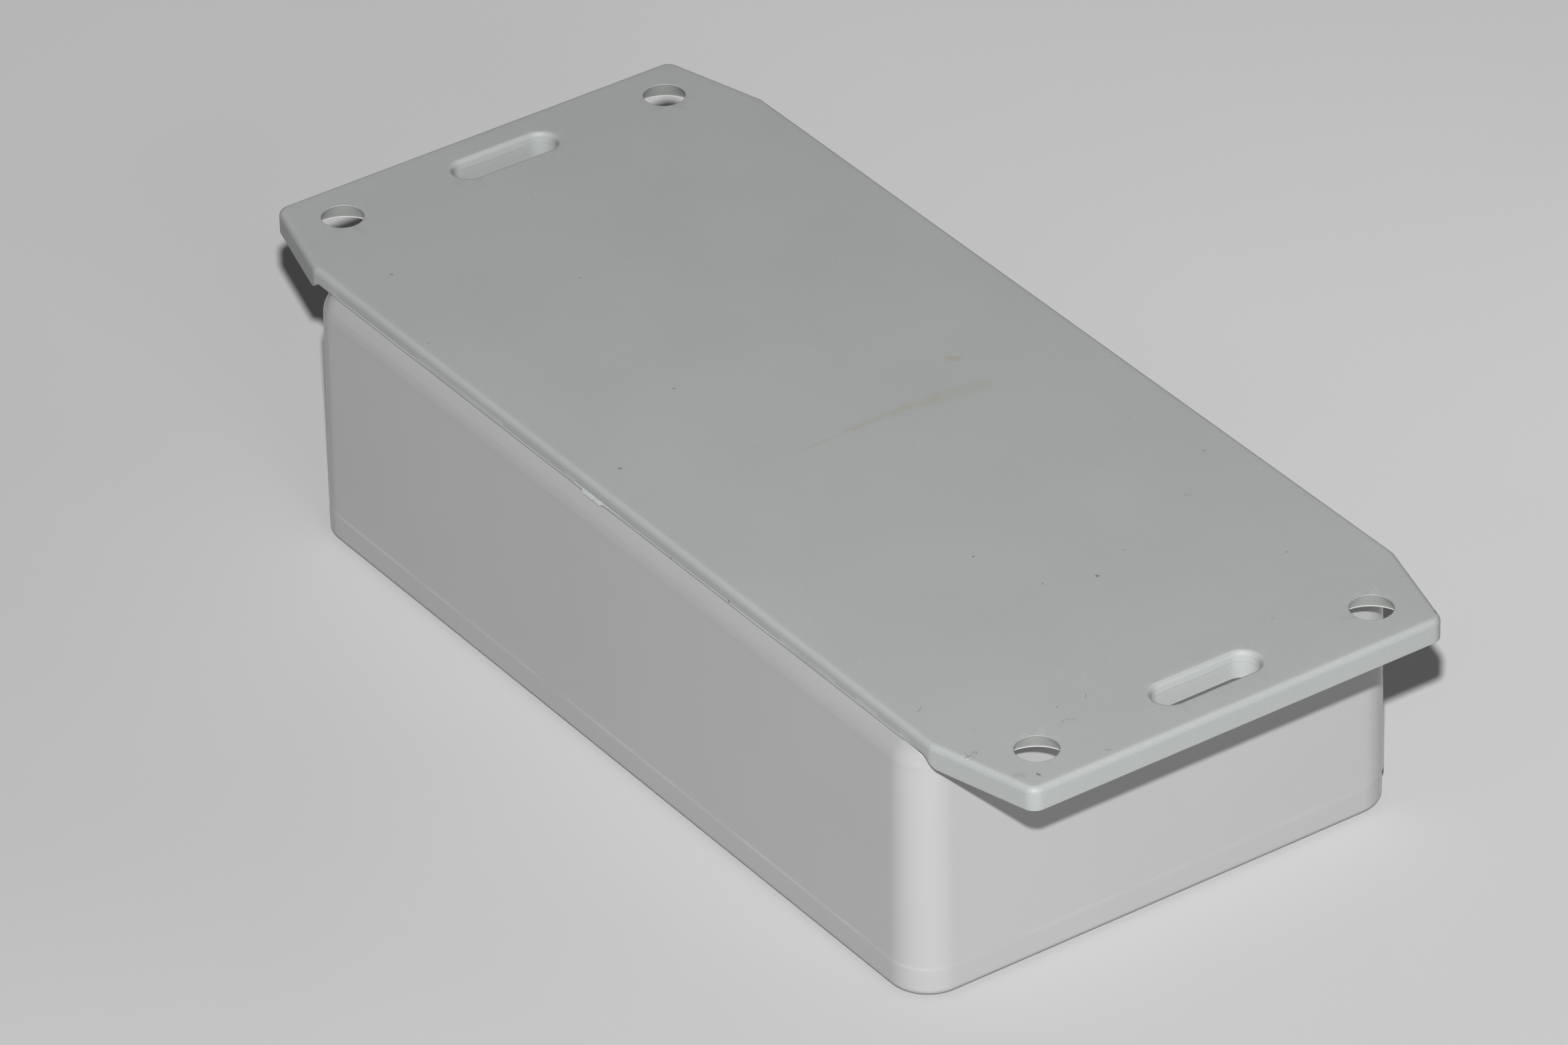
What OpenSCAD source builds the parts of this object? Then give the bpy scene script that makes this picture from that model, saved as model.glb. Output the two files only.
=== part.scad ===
// Plastic instrument enclosure: a moulded box closed by a flanged lid.
// X runs along the box, Y across it and Z up. The origin is the middle of the box's underside.

/* [Box] */
// Length of the box at its widest, below the parting line
box_l = 112; // [90:1:160]
// Width of the box at its widest, below the parting line
box_w = 62; // [50:1:90]
// Height of the box without its lid
box_h = 30.5; // [26:0.5:60]
// Radius of the four upright edges
corner_r = 4.7; // [4:0.1:6]
// Thickness of the wall at the rim
wall_t = 2.2; // [1.8:0.1:2.8]
// Radius of the upright corners inside the box
cavity_r = 2; // [1:0.1:4]
// Thickness of the floor
floor_t = 2.2; // [1.5:0.1:3.5]
// How far each wall leans in between the parting line and the shoulder
draft = 0.3; // [0.1:0.05:0.5]
// Radius of the edge round the underside
foot_r = 1; // [0.5:0.1:1.5]
// Height of the mould parting line above the underside
parting_z = 3.6; // [2:0.1:6]
// How far the wall stands proud below the parting line
parting_step = 0.12; // [0.05:0.01:0.2]
// Radius of the shoulder that rolls over from the wall to the rim
shoulder_r = 3; // [2:0.1:3.5]
// How far the rim and the lid's long edges stand back from the wall
shoulder_in = 1.2; // [0.8:0.05:1.5]

/* [Lid] */
// Thickness of the lid plate
plate_t = 1.5; // [1.2:0.1:2.5]
// Radius of the lid's upper edge
edge_r = 0.75; // [0.3:0.05:1]
// Radius of the lid's corners in plan
lid_corner_r = 1.6; // [1:0.1:3]
// How far each flange reaches out past the straight part of the lid
flange_reach = 12.8; // [11:0.1:18]
// How much each side of a flange narrows towards its end
flange_taper = 3.6; // [2:0.1:6]
// How far the straight part of the lid runs on past each end wall
flange_start = 0.2; // [0:0.05:0.6]
// Depth, from the lid's face, of the rim that turns down round each flange
rim_depth = 2.7; // [2.2:0.1:4]
// Thickness of that rim
rim_t = 1.4; // [1:0.1:2]
// Gap between the ends of the rim and the box's end wall
rim_gap = 0.3; // [0.2:0.05:1]
// Length of the slope by which the rim runs out beside the box
rim_slope = 2.8; // [1:0.1:4]
// Thickness of the locating lip inside the rim of the box
lip_t = 1.3; // [1:0.1:2]
// Depth of the locating lip
lip_depth = 2.2; // [1.5:0.1:4]
// Clearance between the lip and the box wall
lip_gap = 0.15; // [0.1:0.05:0.3]

/* [Fixing holes] */
// Diameter of the four flange holes
hole_d = 4.6; // [3.5:0.1:5.5]
// Radius of the upper edge of the holes
hole_mouth_r = 0.12; // [0.05:0.01:0.2]
// Depth of the straight part of each hole, above its countersink
sink_land = 0.35; // [0.25:0.05:0.8]
// Diameter of the countersink under each hole
sink_d = 7.7; // [7:0.1:8.6]
// Straight edge at the foot of the countersink
sink_edge = 0.2; // [0.05:0.05:0.4]
// Thickness of the boss round the countersink
sink_wall = 1.1; // [0.6:0.1:1.4]
// Distance of the holes and slots beyond the end wall
hole_out = 7.1; // [6:0.1:8]
// Distance of each hole from the corner of its flange
hole_side = 4.7; // [4:0.1:7]
// Width of the slot in each flange
slot_w = 3.8; // [3:0.1:4.5]
// Length of the slot, end to end
slot_l = 13; // [9:0.5:18]
// Radius of the upper edge of the slots
mouth_r = 0.4; // [0.2:0.05:0.6]
// Depth, from the lid's face, of the collar under each slot
collar_depth = 3.3; // [2.6:0.1:4]
// Thickness of that collar
collar_t = 1.2; // [0.8:0.1:1.8]
// How far the collar's bore steps in under the plate
collar_step = 0.12; // [0.05:0.01:0.2]

/* [Posts and screws] */
// Distance of each post's axis from the outer wall, both ways
post_in = 6.2; // [5.8:0.1:7]
// Diameter of the hollow posts in the box
post_d = 8.4; // [8:0.1:9]
// Length of the screw bosses under the lid, which stand on the posts
boss_l = 11.5; // [10.5:0.5:14]
// Thickness left at the top of each post
web_t = 4; // [3:0.1:5]
// Diameter of the screw recess that runs up each post
recess_d = 6; // [5.6:0.1:6.4]
// Diameter of the screw bosses under the lid
boss_d = 6.6; // [5.5:0.1:6.8]
// Room left past the screw's tip in each boss
pilot_spare = 1.5; // [0.5:0.1:2]
// Length of a screw over all
screw_l = 12.2; // [10:0.1:13]
// Core diameter of a screw
shank_d = 2.1; // [1.8:0.1:2.5]
// Diameter of the countersunk head
head_d = 5.3; // [4.8:0.1:5.5]
// Depth of the countersunk head
head_h = 1.6; // [1.3:0.1:2]
// Edge of the head below its cone
head_edge = 0.25; // [0.1:0.05:0.4]
// Chamfer at the screw's blunt tip
tip_chamfer = 0.35; // [0.2:0.05:0.6]
// Span of the cross recess in the head
drive_l = 2.9; // [2.4:0.1:3.2]
// Width of the arms of the cross recess
drive_w = 0.75; // [0.5:0.05:1]
// Depth of the cross recess
drive_depth = 1; // [0.6:0.1:1.2]
// Clearance round the screw core in a boss
pilot_clear = 0.1; // [0.05:0.05:0.2]
// Clearance round the screw in the top of a post
pass_clear = 0.5; // [0.3:0.05:0.7]
// Clearance between the head and its seat
seat_clear = 0.05; // [0.02:0.01:0.1]

/* [Hidden] */
$fn = 64;
// Facets round the corners of the lid
hull_fn = 32;

box_colour = [0.66, 0.66, 0.66];
lid_colour = [0.58, 0.61, 0.60];
screw_colour = [0.72, 0.71, 0.68];

// Reach of a cut past the face that it opens
over = 1;

// Wall, seen as distances outwards from the loop of corner centres
loop_x = box_l / 2 - corner_r;
loop_y = box_w / 2 - corner_r;
box_loop = [[loop_x, -loop_y], [loop_x, loop_y], [-loop_x, loop_y], [-loop_x, -loop_y]];
wall_low = corner_r - parting_step;
wall_high = wall_low - draft;
rim_u = wall_high - shoulder_in;
shoulder_drop = sqrt(shoulder_r * shoulder_r - pow(shoulder_r - shoulder_in, 2));
shoulder_z = box_h - shoulder_drop;
cavity_in = corner_r - wall_high + wall_t;

// Lid outline, with its long edges level with the outer edge of the box's rim
plate_z = box_h;
top_z = plate_z + plate_t;
lid_y = box_w / 2 - corner_r + rim_u;
straight_x = box_l / 2 + flange_start;
end_x = straight_x + flange_reach;
end_y = lid_y - flange_taper;
lid_points = [
    [straight_x, -lid_y], [end_x, -end_y], [end_x, end_y], [straight_x, lid_y],
    [-straight_x, lid_y], [-end_x, end_y], [-end_x, -end_y], [-straight_x, -lid_y],
];
rim_z = top_z - rim_depth;
rim_end = box_l / 2 + rim_gap - shoulder_in;

// Places of the holes, slots, posts and screws
hole_x = box_l / 2 + hole_out;
hole_y = end_y - hole_side;
post_x = box_l / 2 - post_in;
post_y = box_w / 2 - post_in;
post_h = plate_z - boss_l;
seat_z = post_h - web_t;
pass_d = shank_d + 2 * pass_clear;
pilot_d = shank_d + 2 * pilot_clear;
pilot_depth = screw_l - web_t + pilot_spare;

// Direction of travel from one point to the next
function heading(a, b) = atan2(b.y - a.y, b.x - a.x);

// Outward unit normal of the side that leaves a point for the next, going anticlockwise
function outward(a, b) = [b.y - a.y, a.x - b.x] / norm(b - a);

// Corner of a convex outline moved in by a distance from both of its sides
function moved_in(before, at, after, distance) =
    let (n1 = outward(before, at), n2 = outward(at, after))
    at - distance * (n1 + n2) / (1 + n1 * n2);

// Whole convex outline moved in by a distance
function inset(points, distance) =
    let (n = len(points))
    [for (i = [0 : n - 1]) moved_in(points[(i + n - 1) % n], points[i], points[(i + 1) % n], distance)];

// Repeats its children at the four corners of a rectangle
module at_corners(x, y) {
    for (i = [-1, 1], j = [-1, 1]) translate([i * x, j * y, 0]) children();
}

// Carries a profile round a convex loop of corners: straight along each side, turned about each corner.
// The profile's x runs outwards from the loop, and its y becomes the height.
module border(loop) {
    n = len(loop);
    for (i = [0 : n - 1]) {
        arriving = heading(loop[i], loop[(i + 1) % n]);
        leaving = heading(loop[(i + 1) % n], loop[(i + 2) % n]);
        translate(loop[(i + 1) % n]) rotate(arriving - 90) {
            rotate([90, 0, 0]) linear_extrude(norm(loop[(i + 1) % n] - loop[i])) children();
            rotate_extrude(angle = (leaving - arriving + 360) % 360) children();
        }
    }
}

// Convex outline with round corners, moved in by a distance
module round_outline(points, radius, distance) {
    r = max(radius - distance, 0);
    centres = inset(points, distance + r);
    n = len(points);
    polygon([for (i = [0 : n - 1], side = [n - 1, 0])
        centres[i] + r * outward(points[(i + side) % n], points[(i + side + 1) % n])]);
    if (r > 0) for (c = centres) translate(c) circle(r);
}

// Slot across the flange, of a width and an end-to-end length
module slot_outline(width, length) {
    square([width, length - width], center = true);
    for (j = [-1, 1]) translate([0, j * (length - width) / 2]) circle(d = width);
}

// Cut that rounds the upper edge of an opening by a radius, at a distance from its centre line
module mouth_profile(reach, radius) {
    difference() {
        translate([reach - radius, top_z - radius]) square([2 * radius, 2 * radius]);
        translate([reach + radius, top_z - radius]) circle(radius);
    }
}

// Outer half of the box in section: foot radius, parting line, leaning wall and shoulder
module wall_profile() {
    square([corner_r - foot_r, parting_z]);
    translate([0, foot_r]) square([corner_r, parting_z - foot_r]);
    translate([corner_r - foot_r, foot_r]) circle(foot_r);
    polygon([
        [0, foot_r], [wall_low, foot_r], [wall_low, parting_z], [wall_high, shoulder_z],
        [rim_u, box_h], [0, box_h],
    ]);
    intersection() {
        translate([wall_high - shoulder_r, shoulder_z]) circle(shoulder_r);
        translate([0, shoulder_z]) square([corner_r, shoulder_drop]);
    }
}

// Corner of the lid in section, from the axis outwards, with its upper edge rounded
module lid_corner_profile() {
    translate([0, rim_z]) square([lid_corner_r, rim_depth - edge_r]);
    translate([0, rim_z]) square([lid_corner_r - edge_r, rim_depth]);
    translate([lid_corner_r - edge_r, top_z - edge_r]) circle(edge_r);
}

// Inside of the box in plan, moved in by a distance
module cavity_outline(distance) {
    x = box_l / 2 - cavity_in;
    y = box_w / 2 - cavity_in;
    round_outline([[x, -y], [x, y], [-x, y], [-x, -y]], cavity_r, distance);
}

// Screw recess up a post, with the cone that the head seats in and the hole above it
module post_bore() {
    translate([0, 0, -over]) cylinder(d = recess_d, h = seat_z + over);
    translate([0, 0, seat_z - over]) cylinder(d = pass_d, h = web_t + 2 * over);
    seat_r = head_d / 2 + seat_clear;
    rotate_extrude() polygon([
        [0, seat_z - over], [seat_r, seat_z - over], [seat_r, seat_z + head_edge],
        [shank_d / 2 + seat_clear, seat_z + head_h], [0, seat_z + head_h],
    ]);
}

module box() {
    color(box_colour) difference() {
        union() {
            difference() {
                union() {
                    linear_extrude(box_h) polygon(box_loop);
                    border(box_loop) wall_profile();
                }
                translate([0, 0, floor_t]) linear_extrude(box_h) cavity_outline(0);
            }
            translate([0, 0, floor_t / 2]) at_corners(post_x, post_y)
                cylinder(d = post_d, h = post_h - floor_t / 2);
        }
        at_corners(post_x, post_y) post_bore();
    }
}

// Lid plate with its rounded edge, hollowed from below to leave the rim round both flanges
module lid_plate() {
    difference() {
        hull() for (c = inset(lid_points, lid_corner_r)) translate(c)
            rotate_extrude($fn = hull_fn) lid_corner_profile();
        translate([0, 0, rim_z - over]) linear_extrude(plate_z - rim_z + over)
            round_outline(lid_points, lid_corner_r, rim_t);
        translate([0, box_w / 2, 0]) rotate([90, 0, 0]) linear_extrude(box_w) rim_cut();
    }
}

// Side view of the cut that takes the rim away beside the box, with ends that slope down to the flanges
module rim_cut() {
    x = rim_end + rim_slope;
    polygon([
        [-x, rim_z - over], [x, rim_z - over], [x, rim_z],
        [rim_end, plate_z], [-rim_end, plate_z], [-x, rim_z],
    ]);
}

// Lip that drops inside the box wall, and the screw bosses that stand on the posts
module lip_and_bosses() {
    translate([0, 0, plate_z - lip_depth]) linear_extrude(lip_depth + plate_t / 2) difference() {
        cavity_outline(lip_gap);
        cavity_outline(lip_gap + lip_t);
    }
    translate([0, 0, post_h]) at_corners(post_x, post_y) cylinder(d = boss_d, h = boss_l + plate_t / 2);
}

// Collar under the slot of each flange
module slot_collars() {
    for (i = [-1, 1]) translate([i * hole_x, 0, top_z - collar_depth])
        linear_extrude(collar_depth - plate_t / 2)
            slot_outline(slot_w + 2 * collar_t, slot_l + 2 * collar_t);
}

// Boss round the countersink of each flange hole, kept inside the rim
module sink_bosses() {
    translate([0, 0, rim_z]) linear_extrude(rim_depth - plate_t / 2) intersection() {
        at_corners(hole_x, hole_y) circle(d = sink_d + 2 * sink_wall);
        round_outline(lid_points, lid_corner_r, rim_t / 2);
    }
}

// Flange hole in section: straight below its mouth, then opening downwards to seat a screw from below
module sink_profile() {
    polygon([
        [0, rim_z - over], [sink_d / 2, rim_z - over], [sink_d / 2, rim_z + sink_edge],
        [hole_d / 2, top_z - sink_land], [hole_d / 2, top_z + over], [0, top_z + over],
    ]);
    mouth_profile(hole_d / 2, hole_mouth_r);
}

// Flange holes, and the blind screw holes in the bosses
module lid_bores() {
    at_corners(hole_x, hole_y) rotate_extrude() sink_profile();
    translate([0, 0, post_h - over]) at_corners(post_x, post_y)
        cylinder(d = pilot_d, h = pilot_depth + over);
}

// Flange slots with rounded mouths, a little narrower through the collar
module lid_slots() {
    run = (slot_l - slot_w) / 2;
    for (i = [-1, 1]) translate([i * hole_x, 0, 0]) {
        translate([0, 0, plate_z]) linear_extrude(plate_t + over) slot_outline(slot_w, slot_l);
        translate([0, 0, top_z - collar_depth - over]) linear_extrude(collar_depth + over)
            slot_outline(slot_w - 2 * collar_step, slot_l - 2 * collar_step);
        border([[0, -run], [0, run]]) mouth_profile(slot_w / 2, mouth_r);
    }
}

module flanged_lid() {
    color(lid_colour) difference() {
        union() {
            lid_plate();
            lip_and_bosses();
            slot_collars();
            sink_bosses();
        }
        lid_bores();
        lid_slots();
    }
}

// Countersunk screw standing on its head, its head face at the height of the seat
module screw() {
    translate([0, 0, seat_z]) difference() {
        rotate_extrude() polygon([
            [0, 0], [head_d / 2, 0], [head_d / 2, head_edge], [shank_d / 2, head_h],
            [shank_d / 2, screw_l - tip_chamfer], [shank_d / 2 - tip_chamfer, screw_l], [0, screw_l],
        ]);
        for (a = [0, 90]) rotate(a) translate([-drive_l / 2, -drive_w / 2, -over])
            cube([drive_l, drive_w, drive_depth + over]);
    }
}

module lid_screws() {
    color(screw_colour) at_corners(post_x, post_y) screw();
}

box();
flanged_lid();
lid_screws();
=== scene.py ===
import math

import bmesh
import bpy
import numpy as np
from mathutils import Matrix, Vector, geometry


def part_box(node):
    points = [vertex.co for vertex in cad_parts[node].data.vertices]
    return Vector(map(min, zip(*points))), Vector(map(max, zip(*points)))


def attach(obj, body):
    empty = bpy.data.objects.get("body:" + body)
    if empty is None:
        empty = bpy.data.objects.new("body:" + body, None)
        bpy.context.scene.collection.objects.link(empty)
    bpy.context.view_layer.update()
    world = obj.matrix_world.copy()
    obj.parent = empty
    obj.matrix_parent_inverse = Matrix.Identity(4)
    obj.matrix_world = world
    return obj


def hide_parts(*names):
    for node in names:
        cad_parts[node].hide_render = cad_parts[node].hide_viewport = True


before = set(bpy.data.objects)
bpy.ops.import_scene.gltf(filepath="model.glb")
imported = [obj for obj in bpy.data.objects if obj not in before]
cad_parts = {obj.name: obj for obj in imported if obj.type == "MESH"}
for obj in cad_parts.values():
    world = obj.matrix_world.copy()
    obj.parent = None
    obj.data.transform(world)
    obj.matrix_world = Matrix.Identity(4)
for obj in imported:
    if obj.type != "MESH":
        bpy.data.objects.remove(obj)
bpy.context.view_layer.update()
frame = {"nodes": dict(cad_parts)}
mm = 0.001
weldGap = 0.0008 * mm  # points nearer than this become one
sharpAngle = 34.0      # edges that turn more than these degrees stay hard
holeMargin = 1.3       # the loose points of a flat face keep out of a hole made this much larger
cutPast = 1.0          # how far a cutting tool reaches past the face that it opens
print("frame loaded:", ", ".join(frame["nodes"]))


def nodeBox(node):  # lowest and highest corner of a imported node, in millimetres
    low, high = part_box(node)
    return np.array(low) / mm, np.array(high) / mm


boxHigh = nodeBox("box")[1]
lidLow, lidHigh = nodeBox("flanged_lid")
screwLow, screwHigh = nodeBox("lid_screws")
seamDrop = 0.22
seamZ = boxHigh[2] - seamDrop  # where the rim of the box meets the lid, below the flat of the plate


# Surfaces

def roundPath(centres, step, fan):
    # Anticlockwise path round corner centres: the base runs along each side with that side's outward normal,
    # then stands at the next centre while the normal turns in fan steps per quarter circle.
    centres = np.asarray(centres, float)
    run = np.roll(centres, -1, 0) - centres
    heading = np.arctan2(run[:, 1], run[:, 0]) - math.pi / 2
    turn = (np.roll(heading, -1) - heading) % (2 * math.pi)
    bases, angles = [], []
    for i, length in enumerate(np.linalg.norm(run, axis=1)):
        along = np.linspace(0, 1, max(1, round(length / step)) + 1)
        bends = max(2, round(fan * turn[i] / (math.pi / 2)))
        bases += [centres[i] + along[:, None] * run[i], np.tile(centres[i] + run[i], (bends - 1, 1))]
        angles += [np.full(len(along), heading[i]), heading[i] + turn[i] * np.arange(1, bends) / bends]
    angle = np.concatenate(angles)
    return np.concatenate(bases), np.stack([np.cos(angle), np.sin(angle)], 1)


def circlePath(centre, count, turn=0.0):
    # Path round a circle: one base point, with the normal turning evenly from a first angle
    angle = np.arange(count) * 2 * math.pi / count + turn
    return np.tile(np.asarray(centre, float), (count, 1)), np.stack([np.cos(angle), np.sin(angle)], 1)


def arc(reach, height, radius, start, end, count):
    # Part of a circle in a profile, as (reach, height) points; angles in degrees from straight outwards
    angle = np.radians(np.linspace(start, end, count))
    return np.stack([reach + radius * np.cos(angle), height + radius * np.sin(angle)], 1)


def sweep(path, reach, height):
    # Profile carried along a path: row i of column j lies reach i out from base j along its normal, at height
    # i. Reach and height have one value a row, or one for each row and column where the profile changes.
    base, normal = path
    rows = len(reach)
    reach = np.broadcast_to(reach if reach.ndim == 2 else reach[:, None], (rows, len(base)))
    height = np.broadcast_to(height if height.ndim == 2 else height[:, None], (rows, len(base)))
    points = np.dstack([base[None] + normal[None] * reach[..., None], height]).reshape(-1, 3)
    return points, gridFaces(rows, len(base))


def gridFaces(rows, columns):
    # Four-sided faces of a grid whose columns close on themselves
    row, column = np.meshgrid(np.arange(rows - 1), np.arange(columns), indexing="ij")
    after = (column + 1) % columns
    here, above = row * columns, (row + 1) * columns
    return np.stack([here + column, here + after, above + after, above + column], -1).reshape(-1, 4)


def loopAt(path, reach):  # plan of one row of a sweep
    return path[0] + path[1] * reach


def insideLoop(points, loop):
    # True where a point is left of every side of a convex anticlockwise loop
    side = np.roll(loop, -1, 0) - loop
    toPoint = points[:, None] - loop[None]
    return np.all(side[None, :, 0] * toPoint[..., 1] - side[None, :, 1] * toPoint[..., 0] > -1e-9, axis=1)


def flatFill(outer, holes, height, spacing):
    # Flat face inside one loop and outside others: a Delaunay mesh over the loops' points and a loose grid
    low, high = outer.min(0), outer.max(0)
    gridX, gridY = np.meshgrid(np.arange(low[0], high[0], spacing), np.arange(low[1], high[1], spacing))
    loose = np.stack([gridX.ravel(), gridY.ravel()], 1) + spacing / 2
    loose = loose[insideLoop(loose, outer * (1 - spacing / high.max()))]
    for hole in holes:
        centre = hole.mean(0)
        loose = loose[~insideLoop(loose, centre + (hole - centre) * holeMargin)]
    loops = [outer] + holes
    first = np.cumsum([0] + [len(loop) for loop in loops])
    rings = [np.arange(len(loop)) + k for loop, k in zip(loops, first)]
    edges = [np.stack([ring, np.roll(ring, -1)], 1) for ring in rings]
    points = np.concatenate(loops + [loose])
    done = geometry.delaunay_2d_cdt(points.tolist(), np.concatenate(edges).tolist(), [], 1, 1e-7)
    flat, faces = np.array(done[0]), np.array(done[2])
    middle = flat[faces].mean(1)
    keep = np.ones(len(faces), bool)
    for hole in holes:
        keep &= ~insideLoop(middle, hole)
    return np.column_stack([flat, np.full(len(flat), height)]), faces[keep]


def wave(along, total, seed, turns):
    # Sum of a few sine waves that close on themselves over the path, with seeded phases, from -1 to 1
    draw = np.random.default_rng(seed)
    phase = draw.uniform(0, 2 * math.pi, len(turns))
    waves = np.sin(2 * math.pi * np.asarray(turns)[:, None] * along / total + phase[:, None])
    return waves.mean(0)


def rise(value, start, end):  # smooth step from 0 to 1
    t = np.clip((value - start) / (end - start), 0, 1)
    return t * t * (3 - 2 * t)


# Pieces

def makePiece(name, surfaces):
    # Stacks surfaces given in millimetres into one closed mesh with its seams joined and its faces outwards
    first = np.cumsum([0] + [len(points) for points, faces in surfaces])
    faces = [row for (points, part), k in zip(surfaces, first) for row in (part + k).tolist()]
    mesh = bpy.data.meshes.new(name)
    mesh.from_pydata(np.concatenate([points for points, part in surfaces]) * mm, [], faces)
    work = bmesh.new()
    work.from_mesh(mesh)
    bmesh.ops.remove_doubles(work, verts=work.verts, dist=weldGap)
    loose = [vert for vert in work.verts if not vert.link_faces]
    bmesh.ops.delete(work, geom=loose, context="VERTS")
    bmesh.ops.recalc_face_normals(work, faces=work.faces)
    openEdges = sum(1 for edge in work.edges if len(edge.link_faces) != 2)
    work.to_mesh(mesh)
    work.free()
    piece = bpy.data.objects.new(name, mesh)
    bpy.context.scene.collection.objects.link(piece)
    print(name, "faces", len(mesh.polygons), "open edges", openEdges)
    return piece


def carve(piece, tool, operation):
    # Joins a closed tool to a piece, or cuts it out, and deletes the tool
    change = piece.modifiers.new(operation, "BOOLEAN")
    change.operation = operation
    change.solver = "EXACT"
    change.object = tool
    result = bpy.data.meshes.new_from_object(piece.evaluated_get(bpy.context.evaluated_depsgraph_get()))
    piece.modifiers.clear()
    before = piece.data
    piece.data = result
    result.name = piece.name
    bpy.data.meshes.remove(before)
    bpy.data.meshes.remove(tool.data)


def finishPiece(piece, material, slot, *nodes):
    # Smooth shading with true corners, the finish, and the place in the frame
    mesh = piece.data
    mesh.materials.clear()
    mesh.materials.append(material)
    mesh.shade_smooth()
    mesh.set_sharp_from_angle(angle=math.radians(sharpAngle))
    even = piece.modifiers.new("evenNormals", "WEIGHTED_NORMAL")
    even.keep_sharp = True
    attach(piece, "root")
    if nodes:
        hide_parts(*nodes)
    print(piece.name, "finished with", len(mesh.polygons), "faces")


def fourCorners(x, y):
    return np.array([[x, -y], [x, y], [-x, y], [-x, -y]], float)


def revolved(centres, profile, count):
    # The same profile turned about an upright axis at each centre
    return [sweep(circlePath(c, count), profile[:, 0], profile[:, 1]) for c in centres]


# Node helpers for the finishes

noiseSpan = (0.3, 0.7)  # most values of a noise lie between these


def addNode(tree, kind, inputs, **settings):
    node = tree.nodes.new(kind)
    for name, value in settings.items():
        setattr(node, name, value)
    for key, value in inputs.items():
        if isinstance(value, bpy.types.NodeSocket):
            tree.links.new(value, node.inputs[key])
        else:
            node.inputs[key].default_value = value
    return node


def maths(tree, operation, first, second=0.0):
    return addNode(tree, "ShaderNodeMath", {0: first, 1: second}, operation=operation).outputs[0]


def vectorMaths(tree, operation, first, second):
    return addNode(tree, "ShaderNodeVectorMath", {0: first, 1: second}, operation=operation)


def ramp(tree, value, low, high, outLow=0.0, outHigh=1.0):
    inputs = {"Value": value, "From Min": low, "From Max": high, "To Min": outLow, "To Max": outHigh}
    return addNode(tree, "ShaderNodeMapRange", inputs, interpolation_type="SMOOTHSTEP").outputs[0]


def noise(tree, point, size, detail=2.0):  # size is the grain in millimetres
    inputs = {"Vector": point, "Scale": 1 / (size * mm), "Detail": detail}
    return addNode(tree, "ShaderNodeTexNoise", inputs).outputs[0]


def blend(tree, amount, below, above):
    inputs = {0: amount, 6: below, 7: above}
    return addNode(tree, "ShaderNodeMix", inputs, data_type="RGBA").outputs[2]


def newFinish(name):
    material = bpy.data.materials.new(name)
    material.use_nodes = True
    tree = material.node_tree
    point = addNode(tree, "ShaderNodeTexCoord", {}).outputs["Object"]
    return material, tree, tree.nodes["Principled BSDF"], point


def strokeMask(tree, point, start, end, core, soft):
    # 1 along a line between two places, falling to 0 over the soft width round it
    start, run = Vector(start) * mm, (Vector(end) - Vector(start)) * mm
    away = vectorMaths(tree, "SUBTRACT", point, start).outputs[0]
    share = vectorMaths(tree, "DOT_PRODUCT", away, run / max(run.length_squared, 1e-12)).outputs["Value"]
    share = addNode(tree, "ShaderNodeClamp", {"Value": share}).outputs[0]
    nearest = addNode(tree, "ShaderNodeVectorMath", {0: run, "Scale": share}, operation="SCALE").outputs[0]
    gap = vectorMaths(tree, "DISTANCE", away, nearest).outputs["Value"]
    return ramp(tree, gap, core * mm, (core + soft) * mm, 1.0, 0.0)


def speckMask(tree, point, cell, share, radius, space):
    # Scattered dots: one place per cell of space or of the plan, kept in a share of the cells
    inputs = {"Vector": point, "Scale": 1 / (cell * mm)}
    cells = addNode(tree, "ShaderNodeTexVoronoi", inputs, voronoi_dimensions=space)
    pick = addNode(tree, "ShaderNodeSeparateColor", {0: cells.outputs["Color"]}).outputs[0]
    kept = maths(tree, "LESS_THAN", pick, share)
    dot = ramp(tree, cells.outputs["Distance"], 0.5 * radius / cell, radius / cell, 1.0, 0.0)
    return maths(tree, "MULTIPLY", dot, kept)


# Lid: plate with a flange at each end, a rim round each flange, holes, slots, lip and bosses

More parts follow.
